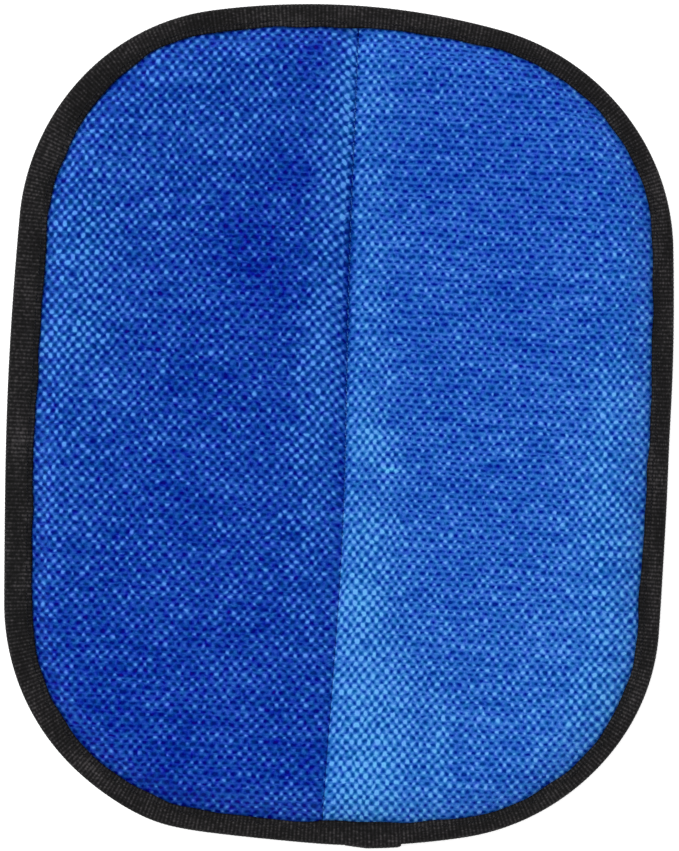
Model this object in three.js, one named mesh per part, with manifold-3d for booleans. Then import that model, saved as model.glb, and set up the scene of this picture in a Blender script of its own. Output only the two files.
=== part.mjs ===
// A flexible magnetic glass-cleaning pad, in millimetres.
//
// The pad lies on its back: X runs across it, Y along the centre seam, and Z up through the
// blue working face. Z = 0 is the surface that it lies on. Two mirrored halves meet at the
// centre seam (X = 0), which is a soft hinge. Each half is a stack of layers inside a woven
// face panel and a back cover, and a folded tape binds the edge.
import * as THREE from "three";
import { mergeVertices } from "three/addons/utils/BufferGeometryUtils.js";
import Module from "manifold-3d";

const wasm = await Module();
wasm.setup();

// ---- Driving dimensions ----------------------------------------------------------------

const PAD_WIDTH = 152;
const PAD_LENGTH = 192.2;
const END_RADIUS = 170; // the slightly bowed top and bottom ends
const SIDE_RADIUS = 1000; // the almost straight sides
const CORNER_RADIUS = 52;

const GAP = 0.3; // clearance between neighbouring layers
const SEAM_GAP = 0.3; // from the fold axis to the cut edges on each side of it

const TAPE_THICKNESS = 0.7;
const TAPE_LAP = 6; // how far the folded tape reaches in over each face
const CLOTH_THICKNESS = 0.7; // the face panels and the back cover
const FILM_THICKNESS = 0.25; // the waterproof pouch round the magnets
const MAGNET_THICKNESS = 3;
const MAGNET_RADIUS = 9;
const FOAM_THICKNESS = 1.1;

const DOME_MARGIN = 0.8; // from the tape's inner edge to the foot of the domed face
const DOME_ROLL = 7; // width of the dome's rounded edge
const SEAM_FLANGE = 1.8; // flat cloth between the fold axis and the foot of the dome
const TRAY_MARGIN = 4.6; // from the foot of the dome in to the tray and the films
const FOAM_MARGIN = 7; // and in to the face foam

const THREAD_WIDTH = 0.5;
const THREAD_THICKNESS = 0.2;
const THREAD_INSET = 4.6; // the stitch row's centre line, in from the pad's outer edge
const GROOVE_DEPTH = 0.5; // the stitches pull down into the tape
const SEAM_THREAD_RADIUS = 0.3;
const SEAM_THREAD_END_GAP = 0.8; // from the tape's inner edge to the seam stitching

const MAGNET_COLUMNS = [20, 48]; // X of the magnets in a half
const MAGNET_ROWS = [-56, 0, 56]; // Y of the magnets in a half

const SIDE_STEPS = 3; // facets along half of a side
const CORNER_STEPS = 12;
const END_STEPS = 3; // along half of an end
const DOME_STEPS = 5; // up the dome's rounded edge
const OVERCUT = 20; // how far a cutting shape reaches past what it cuts

// ---- Heights, from the back up -----------------------------------------------------------

const coverBottom = TAPE_THICKNESS + GAP;
const coverTop = coverBottom + CLOTH_THICKNESS;
const flangeBottom = coverTop + GAP;
const flangeTop = flangeBottom + CLOTH_THICKNESS;
const lapBottom = flangeTop + GAP;
const lapTop = lapBottom + TAPE_THICKNESS; // also the height of the fold axis

const backFilmBottom = coverTop + GAP;
const trayBottom = backFilmBottom + FILM_THICKNESS + GAP;
const frontFilmBottom = trayBottom + MAGNET_THICKNESS + GAP;
const foamBottom = frontFilmBottom + FILM_THICKNESS + GAP;
const faceUnderside = foamBottom + FOAM_THICKNESS + GAP;
const faceTop = faceUnderside + CLOTH_THICKNESS;

const clothInset = TAPE_THICKNESS + GAP; // cut edges of the cloth, inside the tape's fold
const domeInset = TAPE_LAP + DOME_MARGIN;

// ---- Materials ---------------------------------------------------------------------------

function coloured(color, roughness, metalness = 0) {
  return new THREE.MeshStandardMaterial({ color, roughness, metalness });
}

const materials = {
  face_left: coloured(0x1d48a4, 0.55),
  face_right: coloured(0x295eb9, 0.55),
  bindingTape: coloured(0x252426, 0.9),
  backCloth: coloured(0x1d1d20, 0.9),
  blackThread: coloured(0x161618, 0.6),
  blueThread: coloured(0x142a5c, 0.6),
  foam: coloured(0x8f959c, 0.95),
  tray: coloured(0x3a3d42, 0.95),
  film: coloured(0xc9d2d8, 0.25),
  magnet: coloured(0xb9bcc0, 0.25, 1),
};

// ---- Outline -----------------------------------------------------------------------------

// The pad's outline is smooth arcs: one across each end, one down each side and one round
// each corner. A corner arc's centre lies where the arc touches both of its neighbours.
const endCentre = new THREE.Vector2(0, PAD_LENGTH / 2 - END_RADIUS);
const sideCentre = new THREE.Vector2(PAD_WIDTH / 2 - SIDE_RADIUS, 0);
const cornerCentre = crossing(endCentre, END_RADIUS - CORNER_RADIUS, sideCentre, SIDE_RADIUS - CORNER_RADIUS);

// Where two circles cross, on the right-hand side of the way from a to b.
function crossing(a, radiusA, b, radiusB) {
  const way = b.clone().sub(a);
  const distance = way.length();
  const along = (distance ** 2 + radiusA ** 2 - radiusB ** 2) / (2 * distance);
  const across = Math.sqrt(radiusA ** 2 - along ** 2);
  way.normalize();
  const right = new THREE.Vector2(way.y, -way.x);
  return a.clone().addScaledVector(way, along).addScaledVector(right, across);
}

function arcPoints(centre, radius, from, to, steps) {
  return Array.from({ length: steps + 1 }, (_, i) => {
    const angle = from + ((to - from) * i) / steps;
    return new THREE.Vector2(centre.x + radius * Math.cos(angle), centre.y + radius * Math.sin(angle));
  });
}

// The outline of the right half, from the bottom of the seam round to its top, moved in by
// inset and starting at x = seamX.
function halfOutline(inset, seamX) {
  const endRadius = END_RADIUS - inset;
  const endAngle = cornerCentre.clone().sub(endCentre).angle();
  const sideAngle = cornerCentre.clone().sub(sideCentre).angle();
  const seamAngle = Math.acos(seamX / endRadius);
  const upper = [
    ...arcPoints(sideCentre, SIDE_RADIUS - inset, 0, sideAngle, SIDE_STEPS),
    ...arcPoints(cornerCentre, CORNER_RADIUS - inset, sideAngle, endAngle, CORNER_STEPS).slice(1),
    ...arcPoints(endCentre, endRadius, endAngle, seamAngle, END_STEPS).slice(1),
  ];
  const lower = upper
    .slice(1)
    .reverse()
    .map((point) => new THREE.Vector2(point.x, -point.y));
  return [...lower, ...upper];
}

function halfShape(inset, seamX) {
  return new THREE.Shape(halfOutline(inset, seamX));
}

// The sealed layers inside the dome keep a margin to its foot.
function innerShape(margin) {
  return halfShape(domeInset + margin, SEAM_FLANGE + margin);
}

// A strip that follows the half outline between two insets, open at the seam.
function stripShape(outerInset, innerInset, seamX) {
  return new THREE.Shape([...halfOutline(outerInset, seamX), ...halfOutline(innerInset, seamX).reverse()]);
}

// ---- Solids ------------------------------------------------------------------------------

function slab(shape, bottom, top) {
  const geometry = new THREE.ExtrudeGeometry(shape, { depth: top - bottom, bevelEnabled: false });
  return geometry.translate(0, 0, bottom);
}

// A half-pad plate whose edge rounds over inwards by roll, from the height of its foot up to
// top. It goes as far down below the foot as up, so it is cut there.
function dome(inset, seamX, roll, foot, top) {
  const rise = top - foot;
  const geometry = new THREE.ExtrudeGeometry(halfShape(inset, seamX), {
    depth: rise,
    bevelThickness: rise,
    bevelSize: roll,
    bevelOffset: -roll,
    bevelSegments: DOME_STEPS,
  });
  return geometry.translate(0, 0, foot - rise);
}

function toSolid(geometry) {
  const bare = geometry.clone();
  bare.deleteAttribute("normal");
  bare.deleteAttribute("uv");
  const merged = mergeVertices(bare);
  return new wasm.Manifold(
    new wasm.Mesh({
      numProp: 3,
      vertProperties: new Float32Array(merged.attributes.position.array),
      triVerts: new Uint32Array(merged.index.array),
    }),
  );
}

function toGeometry(solid) {
  const mesh = solid.getMesh();
  return new THREE.BufferGeometry()
    .setAttribute("position", new THREE.BufferAttribute(new Float32Array(mesh.vertProperties), 3))
    .setIndex(new THREE.BufferAttribute(new Uint32Array(mesh.triVerts), 1));
}

// ---- Sub-parts of one half, drawn as the right half ----------------------------------------

// Woven working face: a shallow dome with a flat flange all round it. The flange lies under
// the binding tape and runs in to the seam.
function facePanel() {
  const outside = dome(domeInset, SEAM_FLANGE, DOME_ROLL, flangeTop, faceTop);
  const inside = dome(
    domeInset + CLOTH_THICKNESS,
    SEAM_FLANGE + CLOTH_THICKNESS,
    DOME_ROLL - CLOTH_THICKNESS,
    flangeBottom,
    faceUnderside,
  );
  const below = slab(halfShape(0, 0), flangeBottom - OVERCUT, flangeBottom);
  const flange = slab(halfShape(clothInset, SEAM_GAP), flangeBottom, flangeTop);
  return toGeometry(toSolid(outside).subtract(toSolid(below)).add(toSolid(flange)).subtract(toSolid(inside)));
}

function backCover() {
  return slab(halfShape(clothInset, SEAM_GAP), coverBottom, coverTop);
}

function pouchFilm(bottom) {
  return slab(innerShape(TRAY_MARGIN), bottom, bottom + FILM_THICKNESS);
}

function faceFoam() {
  return slab(innerShape(FOAM_MARGIN), foamBottom, foamBottom + FOAM_THICKNESS);
}

const magnetPlaces = MAGNET_ROWS.flatMap((y) => MAGNET_COLUMNS.map((x) => ({ x, y })));

// Foam tray with a round pocket for each magnet.
function magnetTray() {
  const shape = innerShape(TRAY_MARGIN);
  for (const { x, y } of magnetPlaces) {
    shape.holes.push(new THREE.Path().absarc(x, y, MAGNET_RADIUS + GAP, 0, 2 * Math.PI, true));
  }
  return slab(shape, trayBottom, trayBottom + MAGNET_THICKNESS);
}

function magnet({ x, y }) {
  const disc = new THREE.CylinderGeometry(MAGNET_RADIUS, MAGNET_RADIUS, MAGNET_THICKNESS);
  return disc.rotateX(Math.PI / 2).translate(x, y, trayBottom + MAGNET_THICKNESS / 2);
}

// Edge tape folded over the rim, with a groove in each lap where its stitches pull in.
function edgeBinding() {
  const whole = slab(stripShape(0, TAPE_LAP, SEAM_GAP), 0, lapTop);
  const fold = slab(stripShape(TAPE_THICKNESS, TAPE_LAP + OVERCUT, -OVERCUT), TAPE_THICKNESS, lapBottom);
  const reach = THREAD_WIDTH / 2 + GAP;
  const grooveShape = stripShape(THREAD_INSET - reach, THREAD_INSET + reach, -OVERCUT);
  const backGroove = slab(grooveShape, -OVERCUT, GROOVE_DEPTH);
  const frontGroove = slab(grooveShape, lapTop - GROOVE_DEPTH, lapTop + OVERCUT);
  const cuts = [fold, backGroove, frontGroove].map(toSolid);
  return toGeometry(cuts.reduce((tape, cut) => tape.subtract(cut), toSolid(whole)));
}

function bindingThread(bottom) {
  const strip = stripShape(THREAD_INSET - THREAD_WIDTH / 2, THREAD_INSET + THREAD_WIDTH / 2, SEAM_GAP);
  return slab(strip, bottom, bottom + THREAD_THICKNESS);
}

// ---- The seam between the halves -----------------------------------------------------------

// Stitching along the centre seam, just above the two cloth edges that it joins.
function centreSeamThread() {
  const length = PAD_LENGTH - 2 * (TAPE_LAP + SEAM_THREAD_END_GAP);
  const rod = new THREE.CylinderGeometry(SEAM_THREAD_RADIUS, SEAM_THREAD_RADIUS, length, 8);
  return rod.translate(0, 0, flangeTop + GAP + SEAM_THREAD_RADIUS);
}

// ---- Assembly ------------------------------------------------------------------------------

function part(name, geometry, material) {
  const mesh = new THREE.Mesh(geometry, material);
  mesh.name = name;
  return mesh;
}

function padHalf(side) {
  const half = new THREE.Group();
  half.add(
    part(`face_panel_${side}`, facePanel(), materials[`face_${side}`]),
    part(`face_foam_${side}`, faceFoam(), materials.foam),
    part(`pouch_film_front_${side}`, pouchFilm(frontFilmBottom), materials.film),
    part(`magnet_tray_${side}`, magnetTray(), materials.tray),
    part(`pouch_film_back_${side}`, pouchFilm(backFilmBottom), materials.film),
    part(`back_cover_${side}`, backCover(), materials.backCloth),
    part(`edge_binding_${side}`, edgeBinding(), materials.bindingTape),
    part(`binding_thread_front_${side}`, bindingThread(lapTop - THREAD_THICKNESS), materials.blackThread),
    part(`binding_thread_back_${side}`, bindingThread(0), materials.blackThread),
  );
  magnetPlaces.forEach((place, i) => {
    half.add(part(`magnet_${side}_${i + 1}`, magnet(place), materials.magnet));
  });
  return half;
}

const leftHalf = padHalf("left");
leftHalf.scale.x = -1; // the mirror image of the right half

const pad = new THREE.Group();
pad.name = "magnetic_glass_cleaner";
pad.add(leftHalf, padHalf("right"));
pad.add(part("centre_seam_thread", centreSeamThread(), materials.blueThread));

export default pad;
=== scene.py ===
"""A flexible magnetic glass-cleaning pad, lying on its back with its blue working face up.

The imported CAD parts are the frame, in metres: X runs across the pad, Y along the centre seam
and Z up. The cloth, the binding tape and the stitching are built here round them.
"""

import math

import bpy
import numpy as np
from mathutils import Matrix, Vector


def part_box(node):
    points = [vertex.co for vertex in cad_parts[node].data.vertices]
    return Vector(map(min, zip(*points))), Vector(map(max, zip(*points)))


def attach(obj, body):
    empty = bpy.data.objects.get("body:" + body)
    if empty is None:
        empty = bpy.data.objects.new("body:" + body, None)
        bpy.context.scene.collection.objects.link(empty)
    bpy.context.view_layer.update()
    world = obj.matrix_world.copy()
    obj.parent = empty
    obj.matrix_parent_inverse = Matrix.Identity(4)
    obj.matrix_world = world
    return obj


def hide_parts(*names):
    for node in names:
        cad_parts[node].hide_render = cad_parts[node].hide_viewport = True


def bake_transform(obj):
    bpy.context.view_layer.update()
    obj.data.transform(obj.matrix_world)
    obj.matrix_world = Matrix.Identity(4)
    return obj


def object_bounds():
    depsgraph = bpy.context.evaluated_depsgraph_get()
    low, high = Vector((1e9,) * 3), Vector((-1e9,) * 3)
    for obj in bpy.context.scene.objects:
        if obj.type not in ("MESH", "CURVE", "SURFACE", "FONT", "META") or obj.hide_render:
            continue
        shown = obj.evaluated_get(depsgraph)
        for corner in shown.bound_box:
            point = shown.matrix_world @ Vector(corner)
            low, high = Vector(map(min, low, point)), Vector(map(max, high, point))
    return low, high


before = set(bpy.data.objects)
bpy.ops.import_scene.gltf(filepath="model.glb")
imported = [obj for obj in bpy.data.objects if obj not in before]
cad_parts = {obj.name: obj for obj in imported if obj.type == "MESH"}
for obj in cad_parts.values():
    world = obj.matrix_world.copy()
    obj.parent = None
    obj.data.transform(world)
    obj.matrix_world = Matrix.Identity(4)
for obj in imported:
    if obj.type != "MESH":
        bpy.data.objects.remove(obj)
CAD_LOW, CAD_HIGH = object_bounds()
MM = 0.001

# ---- Sizes, in metres ------------------------------------------------------------------------

# The outline's arcs, as in the CAD: across each end, down each side and round each corner.
END_RADIUS, SIDE_RADIUS, CORNER_RADIUS = 170 * MM, 1000 * MM, 52 * MM
HALF_WIDTH = CAD_HIGH.x
HALF_LENGTH = CAD_HIGH.y

LAP_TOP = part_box("edge_binding_left")[1].z  # also the height of the fold axis
FACE_TOP = CAD_HIGH.z
PANEL = 0.7 * MM  # thickness of the CAD's face panels
FLANGE_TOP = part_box("face_panel_left")[0].z + PANEL
COVER_BOTTOM, COVER_TOP = (corner.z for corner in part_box("back_cover_left"))
CLOTH_INSET = HALF_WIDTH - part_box("back_cover_right")[1].x

CLOTH = 0.5 * MM  # thickness of the face cloth
UNEVEN_REACH = 12 * MM  # the rim's unevenness dies out over this much of the face
LEAST_STEP = 0.3  # a row of vertices ends with at least this share of a step

THREAD_ACROSS = {"left": 1.07 * MM, "right": 1.03 * MM}  # pitch of the threads that run along Y
THREAD_ALONG = 1.256 * MM  # pitch of the threads that run across
STITCH_PITCH = 2.5 * MM  # along the seam
STITCH_SHIFT = 0.8 * MM  # moves the seam's stitches, and their marks in the cloth, down the pad
RIB_PITCH = 0.9 * MM  # the tape's ribs

# ---- The outline -------------------------------------------------------------------------------

END_CENTRE = np.array([0.0, HALF_LENGTH - END_RADIUS])
SIDE_CENTRE = np.array([HALF_WIDTH - SIDE_RADIUS, 0.0])


def corner_centre():
    """Where the corner arc's centre lies so that it touches both of its neighbours."""
    r_end, r_side = END_RADIUS - CORNER_RADIUS, SIDE_RADIUS - CORNER_RADIUS
    way = SIDE_CENTRE - END_CENTRE
    distance = np.hypot(*way)
    along = (distance**2 + r_end**2 - r_side**2) / (2 * distance)
    across = math.sqrt(r_end**2 - along**2)
    way = way / distance
    return END_CENTRE + way * along + np.array([way[1], -way[0]]) * across


CORNER_CENTRE = corner_centre()
SIDE_ANGLE = math.atan2(*(CORNER_CENTRE - SIDE_CENTRE)[::-1])
END_ANGLE = math.atan2(*(CORNER_CENTRE - END_CENTRE)[::-1])


def rim(phi, inset):
    """Points whose outward normal is at angle phi, moved in by inset from the outline."""
    c, s = np.cos(phi), np.sin(phi)
    quarter = np.arctan2(np.abs(s), np.abs(c))
    side, end = quarter < SIDE_ANGLE, quarter > END_ANGLE
    cx = np.select([side, end], [SIDE_CENTRE[0], END_CENTRE[0]], CORNER_CENTRE[0])
    cy = np.select([side, end], [SIDE_CENTRE[1], END_CENTRE[1]], CORNER_CENTRE[1])
    r = np.select([side, end], [SIDE_RADIUS, END_RADIUS], CORNER_RADIUS) - inset
    return np.sign(c) * cx + r * c, np.sign(s) * cy + r * s


def rim_walk():
    """(angles, distances): how far along the rim each change of arc is, from the bottom round."""
    quarter = [0, SIDE_ANGLE, END_ANGLE, math.pi / 2]
    radii = [SIDE_RADIUS, CORNER_RADIUS, END_RADIUS]
    angles, distances = [-math.pi / 2], [0.0]
    for quadrant in range(4):
        stops = [(quarter[3 - i], quarter[2 - i], radii[2 - i]) for i in range(3)]
        if quadrant % 2:
            stops = [(b, a, r) for a, b, r in reversed(stops)]
        for a, b, r in stops:
            angles.append(angles[-1] + abs(a - b))
            distances.append(distances[-1] + abs(a - b) * r)
    return np.array(angles), np.array(distances)


WALK_ANGLES, WALK_DISTANCES = rim_walk()
RIM_LENGTH = WALK_DISTANCES[-1]


def rim_angle(distance):
    """The angle of the outline's normal, this far along the rim."""
    return np.interp(distance % RIM_LENGTH, WALK_DISTANCES, WALK_ANGLES)


def rim_distance(phi):
    """How far along the rim the normal at angle phi is."""
    turned = (phi - WALK_ANGLES[0]) % (2 * math.pi) + WALK_ANGLES[0]
    return np.interp(turned, WALK_ANGLES, WALK_DISTANCES)


def rim_place(x, y):
    """(inset, phi) of points inside the outline: how far in they are, and the rim's normal."""
    ax, ay = np.abs(x), np.abs(y)
    best_inset, best_phi = np.full(np.shape(x), np.inf), np.zeros(np.shape(x))
    for centre, radius, low, high in (
        (SIDE_CENTRE, SIDE_RADIUS, -1e-9, SIDE_ANGLE),
        (CORNER_CENTRE, CORNER_RADIUS, SIDE_ANGLE, END_ANGLE),
        (END_CENTRE, END_RADIUS, END_ANGLE, math.pi / 2 + 1e-9),
    ):
        phi = np.arctan2(ay - centre[1], ax - centre[0])
        inset = radius - np.hypot(ax - centre[0], ay - centre[1])
        take = (phi >= low) & (phi <= high) & (inset < best_inset)
        best_inset = np.where(take, inset, best_inset)
        best_phi = np.where(take, phi, best_phi)
    phi = np.arctan2(np.sin(best_phi) * np.sign(y), np.cos(best_phi) * np.sign(x))
    return best_inset, phi


def rim_x(y, inset):
    """Where the outline, moved in by inset, is at height y on the right-hand side."""
    ay = np.abs(y)
    corner = CORNER_RADIUS - inset
    side_y = CORNER_CENTRE[1] + corner * math.sin(SIDE_ANGLE)
    end_y = CORNER_CENTRE[1] + corner * math.sin(END_ANGLE)
    if ay < side_y:
        return SIDE_CENTRE[0] + math.sqrt((SIDE_RADIUS - inset) ** 2 - ay**2)
    if ay < end_y:
        return CORNER_CENTRE[0] + math.sqrt(corner**2 - (ay - CORNER_CENTRE[1]) ** 2)
    return math.sqrt(max((END_RADIUS - inset) ** 2 - (ay - END_CENTRE[1]) ** 2, 0))


def humps(angle, *rows):
    """A sum of smooth humps round the pad, at an angle in radians. Each row is (centre in degrees,
    width in degrees, height)."""
    total = 0
    for centre, width, height in rows:
        off = (np.degrees(angle) - centre + 180) % 360 - 180
        total = total + height * np.exp(-((off / width) ** 2))
    return total


def lap_width(phi):
    """How far the tape reaches in over the face: wide at the left, narrow at the lower right."""
    more = humps(
        phi,
        (-174, 38, 1.7),
        (150, 22, 0.9),
        (90, 16, 0.3),
        (-50, 30, -0.8),
        (-87, 5, 0.8),
    )
    return (5.0 + more) * MM


def edge_wave(s):
    """The tape's inner edge isn't quite even. s is the distance along the rim."""
    s = s / MM
    quick = 0.13 * np.sin(s / 1.9) * np.sin(s / 13.0)
    return (quick + 0.11 * np.sin(s / 4.3 + 1) + 0.12 * np.sin(s / 9.7 + 2)) * MM


def tape_edge(phi):
    """How far in from the outline the tape's inner edge is."""
    return lap_width(phi) + edge_wave(rim_distance(phi))


def uneven(points):
    """The hand-sewn rim isn't quite the CAD outline: its corners differ by a millimetre or so."""
    x, y = points[:, 0], points[:, 1]
    inset, phi = rim_place(x, y)
    out = humps(
        np.arctan2(y, x),
        (57, 25, -1.4),
        (118, 17, 0.55),
        (-150, 27, -0.7),
        (-111, 7, 0.8),
        (-95, 8, -0.4),
        (-37, 14, 0.6),
        (0, 9, -0.2),
    )
    out = out * np.clip(1 - inset / UNEVEN_REACH, 0, 1) * MM
    return points + np.stack([np.cos(phi) * out, np.sin(phi) * out, 0 * out], axis=1)


def seam_x(y):
    """The seam isn't quite straight: it bows a little to the right below the middle."""
    return (0.45 + 1.75 * np.exp(-(((y / MM + 25) / 50) ** 2))) * MM


# ---- Meshes ------------------------------------------------------------------------------------


def mesh_piece(name, points, faces, material, **attributes):
    """A smooth-shaded object. Each attribute holds one vector for every point."""
    mesh = bpy.data.meshes.new(name)
    mesh.from_pydata(uneven(np.asarray(points, float)).tolist(), [], faces)
    mesh.validate()
    mesh.polygons.foreach_set("use_smooth", [True] * len(mesh.polygons))
    for key, values in attributes.items():
        attribute = mesh.attributes.new(key, "FLOAT_VECTOR", "POINT")
        attribute.data.foreach_set("vector", np.asarray(values, np.float32).ravel())
    mesh.materials.append(material)
    mesh.update()
    piece = bpy.data.objects.new(name, mesh)
    bpy.context.scene.collection.objects.link(piece)
    return piece


def strip(row_a, row_b, at_a, at_b):
    """Triangles between two rows of vertices, whose places along the rows are at_a and at_b."""
    faces, i, j = [], 0, 0
    while i < len(row_a) - 1 or j < len(row_b) - 1:
        a_next = at_a[i + 1] if i < len(row_a) - 1 else math.inf
        b_next = at_b[j + 1] if j < len(row_b) - 1 else math.inf
        if a_next <= b_next:
            faces.append((row_a[i], row_a[i + 1], row_b[j]))
            i += 1
        else:
            faces.append((row_a[i], row_b[j + 1], row_b[j]))
            j += 1
    return faces


def stack_rows(rows, start):
    """(faces, border) of a sheet made of rows of vertices from bottom to top, each from left to
    right. rows holds the x values, and start is the first vertex's index."""
    faces, ids, at = [], [], start
    for xs in rows:
        ids.append(list(range(at, at + len(xs))))
        at += len(xs)
    for k in range(len(rows) - 1):
        faces += strip(ids[k], ids[k + 1], rows[k], rows[k + 1])
    right = [row[-1] for row in ids]
    left = [row[0] for row in reversed(ids)]
    border = ids[0] + right[1:] + ids[-1][-2::-1] + left[1:-1]
    return faces, border


def join_borders(points, outer, inner):
    """Triangles round the rim between two closed borders that run the same way round."""
    middle = np.mean([points[i] for i in outer], axis=0)

    def turned(border):
        angles = np.unwrap([math.atan2(*(points[i] - middle)[1::-1]) for i in border])
        first = int(np.argmin(angles % (2 * math.pi)))
        ids = border[first:] + border[:first] + [border[first]]
        angles = np.unwrap([math.atan2(*(points[i] - middle)[1::-1]) for i in ids])
        return ids, np.maximum.accumulate(angles - 2 * math.pi * round(angles[0] / (2 * math.pi)))

    ids_a, at_a = turned(outer)
    ids_b, at_b = turned(inner)
    return strip(ids_b, ids_a, at_b, at_a)


def closed_sheet(top_rows, top_points, under_rows, under_points):
    """A thin closed solid from a fine upper sheet and a coarser lower one."""
    points = np.concatenate([top_points, under_points])
    top, top_border = stack_rows(top_rows, 0)
    under, under_border = stack_rows(under_rows, len(top_points))
    under = [face[::-1] for face in under]
    return points, top + under + join_borders(points, top_border, under_border)


# ---- Node materials ----------------------------------------------------------------------------


class Graph:
    """A short way to write a material's nodes. Values are sockets or plain numbers."""

    def __init__(self, name):
        self.material = bpy.data.materials.new(name)
        self.material.use_nodes = True
        self.tree = self.material.node_tree
        self.shader = self.tree.nodes["Principled BSDF"]

    def node(self, kind, inputs=(), output=0, **settings):
        """Adds a node and returns one of its outputs, chosen by number or name."""
        node = self.tree.nodes.new(kind)
        for key, value in settings.items():
            setattr(node, key, value)
        for key, value in dict(inputs).items():
            self.put(node.inputs[key], value)
        return node.outputs[output]

    def put(self, socket, value):
        if isinstance(value, bpy.types.NodeSocket):
            self.tree.links.new(value, socket)
        else:
            socket.default_value = value

    def math(self, operation, a, b=0.0, c=0.0, clamp=False):
        values = {0: a, 1: b, 2: c}
        return self.node("ShaderNodeMath", values, operation=operation, use_clamp=clamp)

    def add(self, *values):
        total = values[0]
        for value in values[1:]:
            total = self.math("ADD", total, value)
        return total

    def times(self, a, b):
        return self.math("MULTIPLY", a, b)

    def line(self, value, slope, offset, clamp=False):
        """value * slope + offset."""
        return self.math("MULTIPLY_ADD", value, slope, offset, clamp=clamp)

    def centred(self, value):
        """A number from 0 to 1, moved to run from -0.5 to 0.5."""
        return self.math("SUBTRACT", value, 0.5)

    def attribute(self, name):
        """The three parts of a mesh attribute."""
        vector = self.node("ShaderNodeAttribute", output="Vector", attribute_name=name)
        parts = self.tree.nodes.new("ShaderNodeSeparateXYZ")
        self.tree.links.new(vector, parts.inputs[0])
        return parts.outputs

    def vector(self, x=0.0, y=0.0, z=0.0):
        return self.node("ShaderNodeCombineXYZ", {0: x, 1: y, 2: z})

    def noise(self, vector, scale=1.0, detail=2.0, roughness=0.5):
        inputs = {"Vector": vector, "Scale": scale, "Detail": detail, "Roughness": roughness}
        return self.node("ShaderNodeTexNoise", inputs)

    def cell(self, *values):
        """A random number for each whole-numbered cell."""
        whole = [self.math("FLOOR", self.math("ADD", value, 0.5)) for value in values]
        return self.node("ShaderNodeTexWhiteNoise", {"Vector": self.vector(*whole)})

    def wave(self, value, cycles=1.0):
        """cos(2 pi cycles value)."""
        return self.math("COSINE", self.times(value, 2 * math.pi * cycles))

    def hump(self, value, centre, width):
        """exp(-((value - centre) / width) ** 2)."""
        off = self.times(self.math("SUBTRACT", value, centre), 1 / width)
        return self.math("EXPONENT", self.times(self.times(off, off), -1.0))

    def ramp(self, factor, stops):
        """A colour for each factor. Each stop is (factor, colour)."""
        node = self.tree.nodes.new("ShaderNodeValToRGB")
        node.color_ramp.interpolation = "LINEAR"
        elements = node.color_ramp.elements
        while len(elements) < len(stops):
            elements.new(0.5)
        for element, (place, colour) in zip(elements, stops):
            element.position, element.color = place, (*colour, 1)
        self.put(node.inputs[0], factor)
        return node.outputs[0]

    def bump(self, height, distance, strength):
        inputs = {"Height": height, "Distance": distance, "Strength": strength}
        return self.node("ShaderNodeBump", inputs)

    def finish(self, **sockets):
        """Sets the shader's sockets and returns the material."""
        for key, value in sockets.items():
            self.put(self.shader.inputs[key.replace("_", " ")], value)
        return self.material


# How much the threads look like dashes, where the cloth is neither light nor dark.
FLATNESS = {"left": 0.55, "right": 1.0}
# The base tone; how much lighter a raised thread is painted, a painted highlight on its shiny
# crest, as a grain and as a dash; how much darker a sunk one is painted, partly its darker yarn
# and partly painted shade, as a grain and as a dash; and the strength of the painted glints that
# differ from one raised thread to the next.
SPOT_TONES = {
    "left": (0.51, (0.38, 0.25), (0.37, 0.68), 0.5),
    "right": (0.58, (0.24, 0.26), (0.4, 0.66), 0.5),
}
# The colours of each side, from dark to light. The right panel is painted lighter than the left:
# the same cloth, with a painted sheen where its nap lies the other way.
FACE_STOPS = {
    "left": [
        (0.1, (0.0, 0.006, 0.14)),
        (0.4, (0.002, 0.03, 0.27)),
        (0.65, (0.016, 0.075, 0.395)),
        (1.0, (0.08, 0.24, 0.68)),
    ],
    "right": [
        (0.1, (0.0, 0.014, 0.19)),
        (0.4, (0.005, 0.06, 0.35)),
        (0.65, (0.028, 0.12, 0.49)),
        (1.0, (0.11, 0.31, 0.72)),
    ],
}


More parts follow.
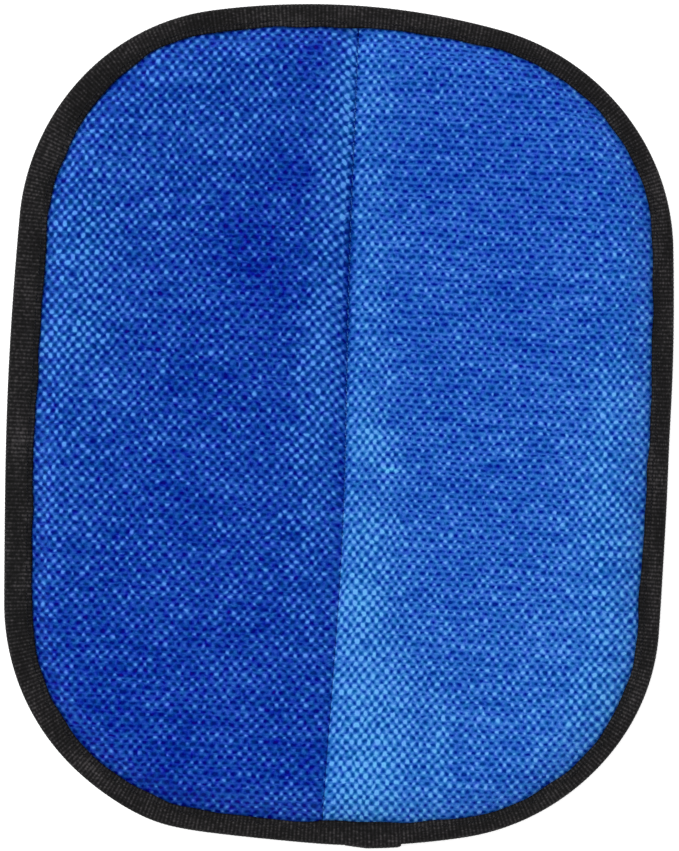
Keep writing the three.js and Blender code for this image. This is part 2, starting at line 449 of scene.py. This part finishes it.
def face_cloth_material(side):
    """Coarse plain weave. The threads attribute counts threads from the seam and from the middle;
    the place attribute is millimetres across and along the pad."""
    g = Graph(f"face_cloth_{side}")
    u, v, _ = g.attribute("threads")
    x, y, _ = g.attribute("place")
    # In dark zones the threads look like even, flat dashes, and in light ones like round grains.
    painted_light_and_wear, crease = zones(g, side, x, y, u)
    flat = g.line(painted_light_and_wear, -5.0, FLATNESS[side], clamp=True)
    wobble_u = g.centred(g.noise(g.vector(u, v, 20.0), 0.8, 1.0))
    wobble_v = g.centred(g.noise(g.vector(u, v, 30.0), 0.8, 1.0))
    u = g.add(u, g.times(wobble_u, g.line(flat, 0.1, 0.7)))
    v = g.add(v, g.times(wobble_v, g.line(flat, -0.25, 0.6)))
    # Along each weft, lean goes between 1, where it lies over a warp thread, and -1, under one.
    weft = g.math("FLOOR", g.math("ADD", v, 0.5))
    lean = g.times(g.wave(u, 0.5), g.wave(weft, 0.5))
    body = g.math("ABSOLUTE", g.wave(v, 0.5))
    body = g.math("POWER", body, g.line(flat, 1.2, 1.0))

    def spot(way):
        """How strongly the threads of one kind show: 1 for the raised ones, -1 for the sunk."""
        half = g.line(lean, way * 0.5, 0.5, clamp=True)
        return g.times(g.math("POWER", half, g.line(flat, -0.8, 1.5)), body)

    over, under = spot(1), spot(-1)
    spark = g.centred(g.cell(u, v))
    row = g.centred(g.noise(g.vector(g.times(x, 0.07), g.times(weft, 3.7)), 1.0, 1.0))
    fine = g.centred(g.noise(g.vector(u, g.times(v, 2.0)), 1.0, 3.0, 0.6))
    mottle = g.centred(g.noise(g.vector(g.times(x, 0.07), g.times(y, 0.06), 3.0), 1.0, 3.0))
    blotch = g.centred(g.noise(g.vector(g.times(x, 0.3), g.times(y, 0.45)), 1.0, 2.0))
    base, raised, sunk, glint = SPOT_TONES[side]
    raised, sunk = (g.line(flat, dash - grain, grain) for grain, dash in (raised, sunk))
    # Raised threads get a painted highlight and random painted glints, and sunk ones are painted
    # darker, partly painted shade; the patches add more painted highlight and shade.
    tone = g.add(
        base,
        g.times(over, raised),
        g.times(g.times(under, sunk), -1.0),
        g.times(g.times(spark, over), glint),
        g.times(row, 0.4),
        g.times(fine, 0.8),
        g.times(mottle, 0.25),
        g.times(blotch, 0.25),
        g.times(painted_light_and_wear, g.add(g.line(over, 1.2, 0.4), g.times(under, -0.6))),
        crease,
    )
    colour = g.ramp(tone, FACE_STOPS[side])
    hue = g.noise(g.vector(g.times(u, 0.7), g.times(v, 0.7), 9.0), 1.0, 2.0)
    hue = g.add(g.line(hue, -0.06, 0.53), g.times(painted_light_and_wear, -0.05))
    colour = g.node("ShaderNodeHueSaturation", {"Hue": hue, "Color": colour})
    height = g.add(
        g.times(over, 0.4),
        g.times(under, -0.4),
        g.times(fine, 0.9),
        g.times(spark, 0.2),
    )
    return g.finish(
        Base_Color=colour,
        Roughness=g.line(fine, 0.4, 0.55),
        Normal=g.bump(height, 0.12 * MM, 0.6),
        Specular_IOR_Level=0.06,
        Specular_Tint=(0.1, 0.4, 1.0, 1.0),
    )


def zones(g, side, x, y, u):
    """Two values, both painted into the colour: lighter and darker patches of the cloth, and the
    seam's crease. Beside the seam the lighter patches are a painted highlight where the cloth
    rolls down into it; elsewhere the cloth is painted lighter and darker in places, with one pale
    scuff. The crease is painted shade, with painted highlights between the stitches on the left."""

    def patch(strength, centre_x, width_x, centre_y, width_y):
        """A smooth patch, in millimetres across and along the pad."""
        both = g.times(g.hump(x, centre_x, width_x), g.hump(y, centre_y, width_y))
        return g.times(both, strength)

    # Painted shade: the cloth is painted darker along the seam's crease, most just above the
    # middle.
    crease = g.times(g.times(g.hump(u, 0.0, 0.8), g.hump(y, 36, 20)), -0.2)
    # Each stitch pulls the cloth in; a short stroke of painted shade on its left, leaning towards
    # it, stands for the dimple there.
    pull = g.line(y, MM / STITCH_PITCH, 0.5 + STITCH_SHIFT / STITCH_PITCH)
    pull = g.add(pull, g.times(u, 0.7 * MM / STITCH_PITCH))
    pull_shade = g.centred(g.math("FRACT", pull))
    strength = g.line(g.cell(pull, 5.0), -1.1, -0.1)
    width = 0.9 if side == "left" else 0.4
    pull_shade = g.times(g.times(g.hump(pull_shade, 0.0, 0.15), g.hump(u, 0.5 * width, width)), strength)
    upper = g.hump(y, 55, 50)
    crease = g.add(crease, g.times(pull_shade, g.line(upper, 0.85, 0.15)))
    if side == "left":
        # Between the strokes, the cloth beside the upper seam catches the light.
        between = g.centred(g.math("FRACT", g.add(pull, 0.5)))
        light = g.times(g.hump(between, 0.0, 0.2), g.hump(u, 1.5, 0.7))
        crease = g.add(crease, g.times(g.times(light, upper), 0.4))
        # Painted highlights beside the seam, and the cloth painted lighter and darker in places
        # elsewhere.
        painted_light_and_wear = g.add(
            patch(0.07, -64, 13, 20, 50),
            patch(0.05, -32, 22, 68, 25),
            patch(0.09, -60, 7, 40, 9),
            patch(0.09, -60, 7, 19, 7),
            patch(0.15, -0.8, 1.6, 74, 28),
            patch(0.07, -4, 4, 70, 32),
            patch(0.1, -5, 5, 10, 45),
            patch(-0.04, -18, 15, 42, 24),
            patch(-0.08, -11, 5, 56, 4),
            patch(-0.05, -24, 6, 41, 7),
            patch(-0.05, -17, 6, 30, 5),
            patch(-0.08, -9, 6, 84, 8),
            patch(-0.05, -40, 40, -85, 45),
        )
    else:
        # A pale scuff; painted highlights and painted shade beside the seam; and the cloth painted
        # lighter and darker in places elsewhere.
        painted_light_and_wear = g.add(
            patch(0.5, 12.5, 2.2, -9.6, 0.5),  # a pale scuff
            patch(0.07, 4, 5, 70, 30),
            patch(0.08, 5, 5, 25, 25),
            patch(0.16, 7, 7, -22, 27),
            patch(0.12, 6.6, 3.5, -2.5, 4),
            patch(-0.1, 8, 4, -14, 5),
            patch(0.1, 6.5, 4, -40, 6),
            patch(0.23, 10, 12, -80, 34),
            patch(0.12, 26.5, 2.2, -74, 16),
            patch(0.12, 66, 12, -30, 60),
            patch(0.08, 60, 3, -5, 25),
            patch(0.1, 62, 6, -60, 9),
            patch(0.05, 45, 25, -70, 30),
            patch(-0.06, 35, 25, 60, 45),
        )
    return painted_light_and_wear, crease


def tape_material():
    """Grosgrain: ribs across the tape, broken by the fine warp. The tape attribute is millimetres
    along and across it."""
    g = Graph("binding_tape")
    along, across, _ = g.attribute("tape")
    ribs = g.times(along, MM / RIB_PITCH)
    rib = g.wave(ribs)
    columns = g.add(g.times(across, 1 / 0.72), g.times(g.cell(ribs), 0.6))
    warp = g.wave(columns)
    knot = g.cell(ribs, columns)
    lint = g.noise(g.vector(g.times(along, 0.5), g.times(across, 0.8)), 2.0, 4.0, 0.6)
    wear = g.noise(g.vector(g.times(along, 0.06), g.times(across, 0.2)), 1.0, 2.0)
    dots = g.times(g.line(rib, 0.5, 0.5), g.line(warp, 0.5, 0.5))
    tone = g.add(
        -0.5,
        g.times(rib, 0.1),
        g.times(dots, g.times(knot, 0.17)),
        g.times(lint, 1.0),
        g.times(wear, 0.55),
    )
    height = g.add(g.times(rib, 0.6), g.times(warp, 0.25), g.times(lint, 0.4))
    stops = [
        (0.1, (0.002, 0.002, 0.002)),
        (0.35, (0.009, 0.0085, 0.009)),
        (0.9, (0.085, 0.078, 0.08)),
    ]
    return g.finish(
        Base_Color=g.ramp(tone, stops),
        Roughness=g.line(lint, 0.3, 0.6),
        Normal=g.bump(height, 0.06 * MM, 0.6),
        Specular_IOR_Level=0.1,
    )


def back_cloth_material():
    """Fine plain weave. The threads attribute counts threads across and along the pad."""
    g = Graph("back_cloth")
    u, v, _ = g.attribute("threads")
    checker = g.times(g.wave(u, 0.5), g.wave(v, 0.5))
    spark = g.cell(u, v)
    dust = g.noise(g.vector(g.times(u, 0.08), g.times(v, 0.08)), 1.0, 4.0)
    tone = g.add(0.1, g.times(checker, 0.2), g.times(spark, 0.25), g.times(dust, 0.4))
    stops = [
        (0.1, (0.003, 0.003, 0.004)),
        (0.5, (0.012, 0.012, 0.014)),
        (0.9, (0.035, 0.034, 0.036)),
    ]
    return g.finish(
        Base_Color=g.ramp(tone, stops),
        Roughness=g.line(dust, 0.2, 0.65),
        Normal=g.bump(g.add(checker, g.times(spark, 0.4)), 0.1 * MM, 0.7),
        Specular_IOR_Level=0.25,
    )


def thread_material(name, dark, light):
    """Twisted sewing thread. The thread attribute is millimetres along it, turns round it and
    which stitch it is."""
    g = Graph(name)
    along, turn, which = g.attribute("thread")
    ply = g.wave(g.add(g.times(along, 1 / 0.7), turn))
    fuzz = g.noise(g.vector(g.times(along, 2.0), g.times(turn, 3.0), which), 2.0, 3.0)
    tone = g.add(0.35, g.times(ply, 0.25), g.times(fuzz, 0.3))
    return g.finish(
        Base_Color=g.ramp(tone, [(0.2, dark), (0.8, light)]),
        Roughness=g.line(fuzz, 0.3, 0.4),
        Normal=g.bump(ply, 0.05 * MM, 0.6),
        Specular_IOR_Level=0.03,
    )


def placed_material(name, scale, dark, light, bump_distance, **sockets):
    """A material for the inner CAD parts, patterned by their place."""
    g = Graph(name)
    place = g.node("ShaderNodeTexCoord", output="Object")
    grain = g.noise(place, scale, 4.0)
    return g.finish(
        Base_Color=g.ramp(grain, [(0.3, dark), (0.7, light)]),
        Normal=g.bump(grain, bump_distance, 0.6),
        **sockets,
    )


face_materials = {side: face_cloth_material(side) for side in ("left", "right")}
tape = tape_material()
back_cloth = back_cloth_material()
black_thread = thread_material("black_thread", (0.003, 0.003, 0.004), (0.02, 0.02, 0.021))
blue_thread = thread_material("blue_thread", (0.003, 0.03, 0.17), (0.03, 0.12, 0.43))

# ---- The face cloth ----------------------------------------------------------------------------

CROWN_INSET = 14.3 * MM  # the cloth rises from the tape's edge until it is this far in
TOP_START, UNDER_START = 0.1 * MM, 0.7 * MM  # its two faces start to rise this far past the edge
VALLEY_WIDTH = 1.9 * MM  # the seam pulls the cloth down over about this much of each side
FACE_CROWN = FACE_TOP - 0.1 * MM
SEAM_GAP = 0.01 * MM  # from the seam's line to each cloth
SEAM_FADE = 30 * MM  # the threads follow the seam's bow less and less over this much
NOISE_CELLS = 512  # each way, in a table of random values


def smooth_bumps(x, y):
    """Slow unevenness of the padded face."""
    x, y = x / MM, y / MM
    return (
        0.12 * np.sin(x / 9.0 + 0.4 + 0.8 * np.sin(y / 31)) * np.sin(y / 12.0 + 1.1)
        + 0.08 * np.sin(x / 5.2 - y / 17.0)
        + 0.06 * np.sin(y / 6.1 + x / 14.0 + 2.0)
    ) * MM


def valley_depth(y):
    """How far the seam pulls the cloth down: most just above the middle."""
    return (0.75 + 0.85 * np.exp(-(((y / MM - 30) / 24) ** 2))) * MM


def face_height(x, y, seam_distance, start=TOP_START):
    """Height of the padded cloth, before its weave. It starts to rise a little past the tape."""
    inset, phi = rim_place(x, y)
    foot = tape_edge(phi) + start
    t = np.clip((inset - foot) / (CROWN_INSET - foot), 0, 1)
    rise = 1 - (1 - t) ** 2.1
    a = np.abs(seam_distance)
    pucker = 1 + 0.18 * np.cos(2 * math.pi * y / STITCH_PITCH) * np.exp(-((a / (1.6 * MM)) ** 2))
    valley = valley_depth(y) * np.exp(-((a / VALLEY_WIDTH) ** 1.5)) * pucker
    return FLANGE_TOP + (FACE_CROWN - FLANGE_TOP + smooth_bumps(x, y) - valley) * rise


def soft_noise(x, y, cell_x, cell_y, seed):
    """Smooth noise from -1 to 1, with a fresh value every cell."""
    table = np.random.RandomState(seed).uniform(-1, 1, (NOISE_CELLS, NOISE_CELLS))
    gx, gy = x / cell_x + NOISE_CELLS / 2, y / cell_y + NOISE_CELLS / 2
    ix, iy = np.floor(gx).astype(int), np.floor(gy).astype(int)
    fx, fy = gx - ix, gy - iy
    fx, fy = fx * fx * (3 - 2 * fx), fy * fy * (3 - 2 * fy)
    low = table[ix, iy] * (1 - fx) + table[ix + 1, iy] * fx
    high = table[ix, iy + 1] * (1 - fx) + table[ix + 1, iy + 1] * fx
    return low * (1 - fy) + high * fy


def wander(x, y, u):
    """(dx, dy): the threads don't run quite straight, and aren't quite evenly spaced."""
    dx = 0.2 * soft_noise(x, y, 1.6 * MM, 2.1 * MM, 11)
    dx += 0.25 * soft_noise(x, y, 6 * MM, 30 * MM, 12)
    dy = 0.2 * soft_noise(x, y, 2.2 * MM, 1.5 * MM, 13)
    dy += 0.22 * soft_noise(x, y, 16 * MM, 1.9 * MM, 14)
    fade = np.clip(u / 2, 0, 1) * MM
    return dx * fade, dy * fade


def weave_relief(u, v):
    """Plain weave: each thread passes over one and under the next."""

    def thread(across, along, swing, radius):
        """Height of the threads of one direction: round, and swinging up and down."""
        side = np.clip(1 - (2 * (across - np.round(across))) ** 2, 0, 1)
        turn = np.where(np.round(across) % 2 == 0, 1, -1)
        return swing * turn * np.cos(math.pi * along) + radius * np.sqrt(side)

    weft = thread(v, u, 0.1 * MM, 0.2 * MM)
    warp = thread(u, v, -0.08 * MM, 0.13 * MM)
    return np.maximum(weft, warp)


def cloth_rows(side, step):
    """(rows of x, every x, every y, threads from the seam, threads from the middle) of one panel,
    with a vertex every step threads."""
    sign = 1 if side == "right" else -1
    pitch = THREAD_ACROSS[side]
    reach = rim_x(0, CLOTH_INSET)
    rows, ys, us, vs = [], [], [], []
    last = int((HALF_LENGTH - CLOTH_INSET) / THREAD_ALONG / step - LEAST_STEP)
    for k in range(-last, last + 1):
        v = k * step
        y = v * THREAD_ALONG
        start = sign * seam_x(y) + SEAM_GAP
        u = np.arange(0, reach / pitch + 2, step)
        a = u * pitch + start * np.exp(-u * pitch / SEAM_FADE)
        end = rim_x(y, CLOTH_INSET)
        keep = a < end - LEAST_STEP * step * pitch
        a = np.append(a[keep], end)
        u = np.append(u[keep], u[keep][-1] + (end - a[-2]) / pitch)
        rows.append((sign * a)[::sign])  # each row runs from left to right
        us.append(u[::sign])
        ys.append(np.full(len(a), y))
        vs.append(np.full(len(a), v))
    return rows, *(np.concatenate(values) for values in (rows, ys, us, vs))


def face_cloth(side):
    """One woven panel: its upper face has every thread, and its underside is smooth."""
    fine_rows, x, y, u, v = cloth_rows(side, 0.5)
    distance = x - seam_x(y)
    # The stitches pull the rows down towards the seam, most of all in the upper left.
    if side == "left":
        chevron = 1.2 * MM * np.clip(y / (30 * MM) + 1.2, 0.2, 1) * np.exp(distance / (3.5 * MM))
    else:
        chevron = 0.5 * MM * np.exp(-distance / (2 * MM))
    # The weave lies flat where the tape covers it.
    inset, phi = rim_place(x, y)
    bare = np.clip((inset - tape_edge(phi)) / (1.5 * MM) + 0.4, 0.1, 1)
    dx, dy = wander(x, y, u)
    x, y = x + dx * bare, y + dy * bare
    height = face_height(x, y, distance) + weave_relief(u, v) * bare
    top = np.stack([x, y - chevron, height], axis=1)
    under_rows, ux, uy, uu, uv = cloth_rows(side, 1)
    under_height = face_height(ux, uy, ux - seam_x(uy), UNDER_START) - CLOTH
    under = np.stack([ux, uy, under_height], axis=1)
    points, faces = closed_sheet(fine_rows, top, under_rows, under)
    threads = np.stack([np.append(u, uu), np.append(v, uv), np.zeros(len(points))], axis=1)
    place = points / MM
    piece = mesh_piece(
        f"face_cloth_{side}", points, faces, face_materials[side], threads=threads, place=place
    )
    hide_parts(f"face_panel_{side}")
    return piece


def bend_at_seam(piece):
    """Bakes the piece's placement into its mesh."""
    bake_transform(piece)
    return piece


for side in ("left", "right"):
    cloth = bend_at_seam(face_cloth(side))

# ---- The binding tape --------------------------------------------------------------------------

TAPE = 0.65 * MM  # thickness
RINGS_PER_RIB = 4
RIB_DEPTH = 0.045 * MM
BACK_LAP = 6 * MM
BACK_STITCH_INSET = 4.6 * MM  # the stitches on the back lie in a shallow groove
GROOVE_REACH, GROOVE_DEPTH = 0.7 * MM, 0.2 * MM


def tape_section(front_lap):
    """(insets, heights, how many of the points are outside) of the folded tape's cross-section,
    from the inner edge of the front lap over the rim to the back lap, and back along its inside.
    insets and heights have a row for each point and a column for each width of the front lap."""
    top, mid = LAP_TOP, LAP_TOP / 2
    outside = [
        (front_lap, top - 0.2 * MM),
        (front_lap - 0.25 * MM, top),
        (0.78 * front_lap, top),
        (0.55 * front_lap, top),
        (0.34 * front_lap, top - 0.02 * MM),
        (0.9 * MM, top - 0.12 * MM),
        (0.35 * MM, top - 0.5 * MM),
        (0.08 * MM, top - 1.1 * MM),
        (0.0, mid),
        (0.08 * MM, 1.1 * MM),
        (0.35 * MM, 0.5 * MM),
        (0.9 * MM, 0.12 * MM),
        (0.34 * BACK_LAP, 0.02 * MM),
        (BACK_STITCH_INSET - GROOVE_REACH, 0.0),
        (BACK_STITCH_INSET, GROOVE_DEPTH),
        (BACK_STITCH_INSET + GROOVE_REACH, 0.0),
        (BACK_LAP - 0.25 * MM, 0.0),
        (BACK_LAP, 0.2 * MM),
    ]
    inside = [
        (BACK_LAP, TAPE),
        (0.5 * BACK_LAP, TAPE),
        (1.15 * MM, TAPE),
        (0.75 * MM, TAPE + 0.35 * MM),
        (TAPE, mid),
        (0.75 * MM, top - TAPE - 0.35 * MM),
        (1.15 * MM, top - TAPE),
        (0.5 * front_lap, top - TAPE),
        (front_lap, top - TAPE),
    ]
    insets = np.stack([np.broadcast_to(inset, front_lap.shape) for inset, _ in outside + inside])
    heights = np.array([height for _, height in outside + inside])[:, None]
    return insets, heights * np.ones_like(front_lap), len(outside)


def tape_mesh(start, length, lift=0.0, outward=0.0, closed=False):
    """The folded tape along the rim from start, on length of rim. It may be raised and moved
    outwards, more and more towards its far end."""
    count = int(round(length / RIB_PITCH)) * RINGS_PER_RIB
    s = start + np.linspace(0, length, count + (0 if closed else 1), endpoint=not closed)
    near_end = np.clip((s - start - length) / MM + 1, 0, 1)
    grown = np.clip((s - start) / (5 * MM), 0, 1) - 0.6 * near_end**2
    lift, outward = lift * (0.3 + 0.7 * grown), outward * grown
    phi = rim_angle(s)
    front = lap_width(phi) + edge_wave(s)
    insets, heights, n_out = tape_section(front)
    steps = np.hypot(np.diff(insets[:, 0]), np.diff(heights[:, 0]))
    across = np.concatenate([[0], np.cumsum(steps)])
    rib = RIB_DEPTH * (0.5 - 0.5 * np.cos(2 * math.pi * s / RIB_PITCH))
    # Outward in the section's plane: up on the front lap, sideways at the rim, down on the back.
    lean = np.linspace(math.pi / 2, -math.pi / 2, n_out)
    insets[:n_out] -= np.cos(lean)[:, None] * (lift - rib)
    heights[:n_out] += np.sin(lean)[:, None] * (lift - rib)
    # The inner edge of the front lap ripples between the stitches.
    pucker = 0.09 * MM * np.sin(s / (1.05 * MM)) * np.sin(s / (8 * MM))
    pucker += 0.06 * MM * np.sin(s / (2.7 * MM))
    heights[:3] += pucker
    heights[-2:] += pucker
    heights = np.maximum(heights, 0)
    x, y = rim(phi[None, :], insets - outward)
    rings = np.stack([x, y, heights], axis=2).transpose(1, 0, 2)
    n_ring, n_point = rings.shape[:2]
    faces = []
    for i in range(n_ring if closed else n_ring - 1):
        a, b = i * n_point, (i + 1) % n_ring * n_point
        for j in range(n_point):
            k = (j + 1) % n_point
            faces.append((a + j, b + j, b + k, a + k))
    if not closed:
        last = (n_ring - 1) * n_point
        faces += [tuple(range(n_point)), tuple(range(last + n_point - 1, last - 1, -1))]
    coords = np.zeros_like(rings)
    coords[:, :, 0] = s[:, None] / MM
    coords[:, :, 1] = across[None, :] / MM
    return rings.reshape(-1, 3), faces, coords.reshape(-1, 3)


points, faces, coords = tape_mesh(0.0, RIM_LENGTH, closed=True)
binding = mesh_piece("edge_binding_tape", points, faces, tape, tape=coords)
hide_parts("edge_binding_left", "edge_binding_right")
bend_at_seam(binding)

# The tape's end laps over its start, a little to the right of the seam at the bottom.
END_START, END_LENGTH = 6.2 * MM, 12.8 * MM
points, faces, coords = tape_mesh(END_START, END_LENGTH, lift=0.3 * MM, outward=0.4 * MM)
tape_end = mesh_piece("edge_binding_tape_end", points, faces, tape, tape=coords)
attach(tape_end, "right_half")

# ---- Stitches ----------------------------------------------------------------------------------

# One stitch: its length, its thread's radius and the rise of its arch.
RIM_STITCH = (2.5 * MM, 0.16 * MM, 0.16 * MM)
SEAM_STITCH = (1.7 * MM, 0.2 * MM, 0.3 * MM)
RIM_STITCH_PITCH = 3.1 * MM
FRONT_STITCH_SETBACK = 1.3 * MM  # from the tape's inner edge
BACK_STITCH_HEIGHT = 0.21 * MM  # in the groove, clear of the floor
SEAM_STOP = 7.5 * MM  # the seam's stitches stop this far from each end of the pad


def stitches(name, places, directions, ups, size, material):
    """A row of separate stitches. Each is an arched thread whose ends go down into the cloth."""
    length, radius, rise = size
    rings, sides = 7, 6
    t = np.linspace(-1, 1, rings)
    arch = rise * (1 - t**2) - 0.7 * rise
    turn = np.arange(sides) / sides
    points, faces, coords = [], [], []
    for k, (place, along, up) in enumerate(zip(places, directions, ups)):
        sideways = np.cross(up, along)
        centres = place + np.outer(t * length / 2, along) + np.outer(arch, up)
        base = len(points)
        for i, centre in enumerate(centres):
            thickness = radius * (1 - 0.35 * abs(t[i]) ** 3)
            for share in turn:
                angle = 2 * math.pi * share
                offset = sideways * math.cos(angle) + up * math.sin(angle)
                points.append(centre + offset * thickness)
                coords.append((t[i] * length / 2 / MM, share, k * 0.37))
        for i in range(rings - 1):
            a, b = base + i * sides, base + (i + 1) * sides
            for j in range(sides):
                j_next = (j + 1) % sides
                faces.append((a + j, a + j_next, b + j_next, b + j))
        faces.append(tuple(range(base + sides - 1, base - 1, -1)))
        last = base + (rings - 1) * sides
        faces.append(tuple(range(last, last + sides)))
    piece = mesh_piece(name, np.array(points), faces, material, thread=coords)
    return bend_at_seam(piece)


def rim_stitches(name, inset_of, z, up, nodes):
    """A row of stitches along the tape, at height z, on the side that up points to."""
    count = int(RIM_LENGTH / RIM_STITCH_PITCH)
    s = (np.arange(count) + 0.5) * RIM_LENGTH / count
    phi = rim_angle(s)
    x, y = rim(phi, inset_of(phi, s))
    places = np.stack([x, y, np.full(count, z)], axis=1)
    along = np.stack([-np.sin(phi), np.cos(phi), np.zeros(count)], axis=1)
    ups = np.tile([0, 0, up], (count, 1))
    piece = stitches(name, places, along, ups, RIM_STITCH, black_thread)
    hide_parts(*nodes)


rim_stitches(
    "binding_stitches_front",
    lambda phi, s: lap_width(phi) + edge_wave(s) - FRONT_STITCH_SETBACK,
    LAP_TOP,
    1.0,
    ["binding_thread_front_left", "binding_thread_front_right"],
)
rim_stitches(
    "binding_stitches_back",
    lambda phi, s: np.full(len(s), BACK_STITCH_INSET),
    BACK_STITCH_HEIGHT,
    -1.0,
    ["binding_thread_back_left", "binding_thread_back_right"],
)


def seam_stitches():
    """The stitches that join the two face cloths."""
    count = int((HALF_LENGTH - SEAM_STOP) / STITCH_PITCH)
    y = (np.arange(-count, count) + 0.5) * STITCH_PITCH
    x = seam_x(y)
    sunk = 0.2 * MM * np.clip((-y - 15 * MM) / (30 * MM), 0, 1)  # hidden in the lower cloth
    z = face_height(x, y, np.zeros_like(x)) - 0.1 * MM - sunk
    places = np.stack([x, y - STITCH_SHIFT, z], axis=1)
    slope = np.gradient(x, y)
    along = np.stack([slope, np.ones_like(y), np.zeros_like(y)], axis=1)
    along /= np.linalg.norm(along, axis=1)[:, None]
    ups = np.tile([0.0, 0.0, 1.0], (len(y), 1))
    piece = stitches(
        "centre_seam_stitches", places, along, ups, SEAM_STITCH, blue_thread
    )
    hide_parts("centre_seam_thread")


seam_stitches()

# ---- The back cover ----------------------------------------------------------------------------

BACK_THREAD = 0.75 * MM  # pitch of its threads
COVER_STEP = 1.2 * MM  # between vertices
MAGNETS = [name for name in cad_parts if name.startswith("magnet_") and "tray" not in name]
MAGNET_CENTRES = [(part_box(name)[0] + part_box(name)[1]) / 2 for name in MAGNETS]


def back_height(x, y):
    """The cover's lower face: it sags a little, and the magnets show as faint bumps."""
    inset, _ = rim_place(x, y)
    sag = 0.25 * MM * np.clip((inset - BACK_LAP) / (12 * MM), 0, 1)
    for centre in MAGNET_CENTRES:
        r = np.hypot(x - centre.x, y - centre.y)
        sag = sag + 0.22 * MM / (1 + (r / (8.5 * MM)) ** 8)
    # It is drawn up in a crease along the fold.
    crease = 0.35 * MM * np.exp(-((x / (1.6 * MM)) ** 2))
    return COVER_BOTTOM - sag + np.minimum(crease, sag + 0.1 * MM)


def cover_rows(step):
    """(rows of x, every x, every y) of a plain grid inside the cover's outline."""
    rows, ys = [], []
    last = int((HALF_LENGTH - CLOTH_INSET) / step - LEAST_STEP)
    for k in range(-last, last + 1):
        y = k * step
        end = rim_x(y, CLOTH_INSET)
        n = int(end / step - LEAST_STEP)
        row = np.concatenate([[-end], np.arange(-n, n + 1) * step, [end]])
        rows.append(row)
        ys.append(np.full(len(row), y))
    return rows, np.concatenate(rows), np.concatenate(ys)


def back_cover():
    """One cloth behind both halves, drawn up to the tape."""
    rows, x, y = cover_rows(COVER_STEP)
    low = back_height(x, y)
    top = np.stack([x, y, low + (COVER_TOP - COVER_BOTTOM)], axis=1)
    under = np.stack([x, y, low], axis=1)
    points, faces = closed_sheet(rows, top, rows, under)
    threads = points / BACK_THREAD * (1, 1, 0)
    piece = mesh_piece("back_cover", points, faces, back_cloth, threads=threads)
    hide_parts("back_cover_left", "back_cover_right")
    bend_at_seam(piece)


back_cover()

# ---- The parts inside, kept as they are in the CAD ---------------------------------------------

# By the start of the nodes' names. The magnets come last, as the trays' names start the same way.
inner_materials = {
    "face_foam": placed_material(
        "open_cell_foam",
        900,
        (0.12, 0.135, 0.16),
        (0.4, 0.43, 0.47),
        0.3 * MM,
        Roughness=0.95,
    ),
    "magnet_tray": placed_material(
        "closed_cell_foam",
        1400,
        (0.02, 0.022, 0.027),
        (0.06, 0.066, 0.075),
        0.1 * MM,
        Roughness=0.9,
    ),
    "pouch_film": placed_material(
        "clear_film",
        120,
        (0.5, 0.56, 0.6),
        (0.66, 0.71, 0.75),
        0.05 * MM,
        Roughness=0.2,
        Alpha=0.5,
    ),
    "magnet": placed_material(
        "nickel_plate",
        260,
        (0.42, 0.43, 0.46),
        (0.58, 0.59, 0.61),
        0.01 * MM,
        Roughness=0.22,
        Metallic=1.0,
    ),
}
for name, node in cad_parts.items():
    kind = next((kind for kind in inner_materials if name.startswith(kind)), None)
    if kind:
        node.data.materials.clear()
        node.data.materials.append(inner_materials[kind])

# ---- Floor, light and camera -------------------------------------------------------------------

FLOOR_SIZE = 6.0
FLOOR_DROP = 0.05 * MM  # the floor stays just clear of the tape


def make_floor():
    """A sheet of white paper, much larger than the view."""
    mesh = bpy.data.meshes.new("floor")
    h = FLOOR_SIZE / 2
    mesh.from_pydata([(-h, -h, 0), (h, -h, 0), (h, h, 0), (-h, h, 0)], [], [(0, 1, 2, 3)])
    floor = bpy.data.objects.new("floor", mesh)
    bpy.context.scene.collection.objects.link(floor)
    g = Graph("floor_paper")
    white = (0.93, 0.93, 0.93, 1)
    paper = g.finish(
        Base_Color=white,
        Roughness=0.9,
        Specular_IOR_Level=0.0,
        Emission_Color=white,
        Emission_Strength=0.45,
    )
    mesh.materials.append(paper)
    floor.location.z = -FLOOR_DROP


def make_light():
    """An even white studio, with one soft key light from the upper left."""
    world = bpy.data.worlds.new("studio")
    bpy.context.scene.world = world
    world.use_nodes = True
    studio = world.node_tree.nodes["Background"].inputs
    studio["Color"].default_value = (1, 1, 1, 1)
    studio["Strength"].default_value = 1.0
    lamp = bpy.data.lights.new("key", "SUN")
    lamp.energy = 1.3
    lamp.angle = math.radians(50)
    key = bpy.data.objects.new("key", lamp)
    key.rotation_euler = (math.radians(-28), math.radians(-32), 0)
    bpy.context.scene.collection.objects.link(key)


VIEW_TURN = math.radians(2.75)  # the pad leans clockwise in the picture
VIEW_HEIGHT = 0.95  # the camera looks straight down from here
VIEW_SPAN = 194.4 * MM  # how much of the pad's length the picture's height takes in
VIEW_CENTRE = (0.31 * MM, -0.15 * MM)
SENSOR = 36  # the camera's, in its own millimetres


def make_camera():
    data = bpy.data.cameras.new("camera")
    data.sensor_width = SENSOR
    data.lens = SENSOR * (VIEW_HEIGHT - LAP_TOP / 2) / VIEW_SPAN
    data.clip_start, data.clip_end = 0.01, 20
    camera = bpy.data.objects.new("camera", data)
    camera.location = (*VIEW_CENTRE, VIEW_HEIGHT)
    camera.rotation_euler = (0, 0, VIEW_TURN)
    bpy.context.scene.collection.objects.link(camera)
    bpy.context.scene.camera = camera


make_floor()
make_light()
make_camera()
bpy.context.scene.view_settings.view_transform = "Standard"
